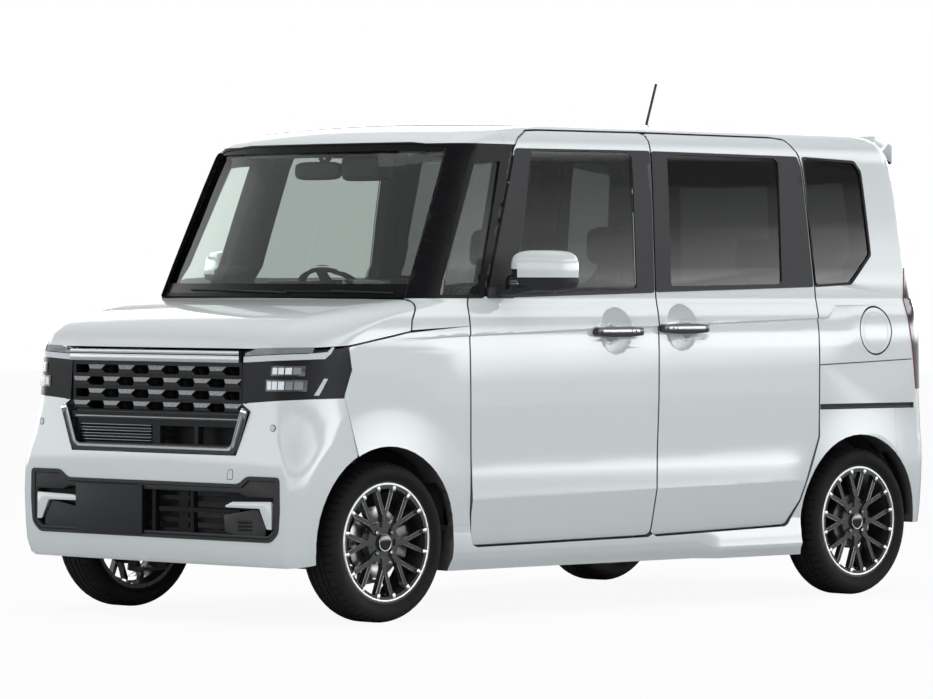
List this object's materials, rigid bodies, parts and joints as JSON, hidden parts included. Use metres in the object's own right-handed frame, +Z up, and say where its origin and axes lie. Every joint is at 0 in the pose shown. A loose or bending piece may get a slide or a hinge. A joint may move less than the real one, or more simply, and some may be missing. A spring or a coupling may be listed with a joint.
{
  "type": "kei car",
  "caption": "Tall boxy kei-class wagon with hinged front doors, sliding rear doors, bonnet, tailgate and fuel lid, steered front wheels and a hollow seated cabin.",
  "frame": {"origin": "middle of the car's outline on the road, under the body's centre", "axes": "+Z up, the nose faces -Y, the car's left side is +X"},
  "size_m": [1.913, 3.395, 1.9647],
  "materials": {
    "body_paint": "pearl gloss",
    "black_plastic": "satin",
    "grille_plastic": "gloss",
    "clear_glass": "clear",
    "dark_glass": "tinted",
    "lamp_lens": "smoked",
    "red_lens": "gloss",
    "underbody": "matte sealant",
    "steel": "dark",
    "engine_metal": "cast",
    "exhaust_steel": "dull",
    "cabin_plastic": "grained",
    "seat_cloth": "woven",
    "alloy": "black with machined edges",
    "tyre_rubber": "matte"
  },
  "bodies": {
    "body": {"floor_pan": "underbody", "body_sides": "body_paint", "roof_panel": "body_paint", "antenna": "black_plastic", "front_fenders": "body_paint", "front_bumper": "body_paint", "upper_grille": "grille_plastic", "lower_grille": "grille_plastic", "headlamps": "lamp_lens", "windscreen": "clear_glass", "cowl": "black_plastic", "fixed_glass": "dark_glass", "sliding_doors": "body_paint", "tail_lamps": "red_lens", "rear_bumper": "body_paint", "dashboard": "cabin_plastic", "front_seats": "seat_cloth", "rear_seats": "seat_cloth", "rear_axle": "steel", "front_suspension": "steel", "engine": "engine_metal", "exhaust": "exhaust_steel"},
    "bonnet": {"bonnet": "body_paint"},
    "door_left": {"front_door_left": "body_paint", "front_door_glass_left": "clear_glass", "mirror_left": "body_paint"},
    "door_right": {"front_door_right": "body_paint", "front_door_glass_right": "clear_glass", "mirror_right": "body_paint"},
    "tailgate": {"tailgate": "body_paint", "tailgate_glass": "dark_glass"},
    "fuel_lid": {"fuel_lid": "body_paint"},
    "steering_wheel": {"steering_wheel": "cabin_plastic"},
    "knuckle_left": {"knuckle_left": "steel"},
    "knuckle_right": {"knuckle_right": "steel"},
    "wheel_front_left": {"tyre_front_left": "tyre_rubber", "rim_front_left": "alloy"},
    "wheel_front_right": {"tyre_front_right": "tyre_rubber", "rim_front_right": "alloy"},
    "wheel_rear_left": {"tyre_rear_left": "tyre_rubber", "rim_rear_left": "alloy"},
    "wheel_rear_right": {"tyre_rear_right": "tyre_rubber", "rim_rear_right": "alloy"}
  },
  "joints": [
    {"name": "steer_left", "type": "hinge", "parent": "body", "child": "knuckle_left", "pos_m": [0.5865, -1.24, 0.281], "axis": [-0.1693, 0, 0.9856], "range_deg": [-34, 34]},
    {"name": "steer_right", "type": "hinge", "parent": "body", "child": "knuckle_right", "pos_m": [-0.5865, -1.24, 0.281], "axis": [0.1693, 0, 0.9856], "range_deg": [-34, 34]},
    {"name": "steering_wheel_turn", "type": "hinge", "parent": "body", "child": "steering_wheel", "pos_m": [-0.33, -0.475, 1.09], "axis": [0, 0.8829, 0.4695], "range_deg": [-560, 560]},
    {"name": "wheel_front_left_spin", "type": "hinge", "parent": "knuckle_left", "child": "wheel_front_left", "pos_m": [0.6525, -1.24, 0.281], "axis": [1, 0, 0], "continuous": true},
    {"name": "wheel_front_right_spin", "type": "hinge", "parent": "knuckle_right", "child": "wheel_front_right", "pos_m": [-0.6525, -1.24, 0.281], "axis": [1, 0, 0], "continuous": true},
    {"name": "wheel_rear_left_spin", "type": "hinge", "parent": "body", "child": "wheel_rear_left", "pos_m": [0.6525, 1.28, 0.281], "axis": [1, 0, 0], "continuous": true},
    {"name": "wheel_rear_right_spin", "type": "hinge", "parent": "body", "child": "wheel_rear_right", "pos_m": [-0.6525, 1.28, 0.281], "axis": [1, 0, 0], "continuous": true},
    {"name": "door_left_hinge", "type": "hinge", "parent": "body", "child": "door_left", "pos_m": [0.7385, -0.8385, 0.7], "axis": [0, 0, -1], "range_deg": [0, 72]},
    {"name": "door_right_hinge", "type": "hinge", "parent": "body", "child": "door_right", "pos_m": [-0.7385, -0.8385, 0.7], "axis": [0, 0, 1], "range_deg": [0, 72]},
    {"name": "bonnet_hinge", "type": "hinge", "parent": "body", "child": "bonnet", "pos_m": [0, -1.086, 1.128], "axis": [-1, 0, 0], "range_deg": [0, 55]},
    {"name": "tailgate_hinge", "type": "hinge", "parent": "body", "child": "tailgate", "pos_m": [0, 1.5234, 1.754], "axis": [1, 0, 0], "range_deg": [0, 82]},
    {"name": "fuel_lid_hinge", "type": "hinge", "parent": "body", "child": "fuel_lid", "pos_m": [0.7335, 1.28, 1.012], "axis": [0, 0, -1], "range_deg": [0, 85]}
  ],
  "couplings": [
    {"joint": "steer_right", "follows": "steer_left", "ratio": 1},
    {"joint": "steering_wheel_turn", "follows": "steer_left", "ratio": 16}
  ]
}
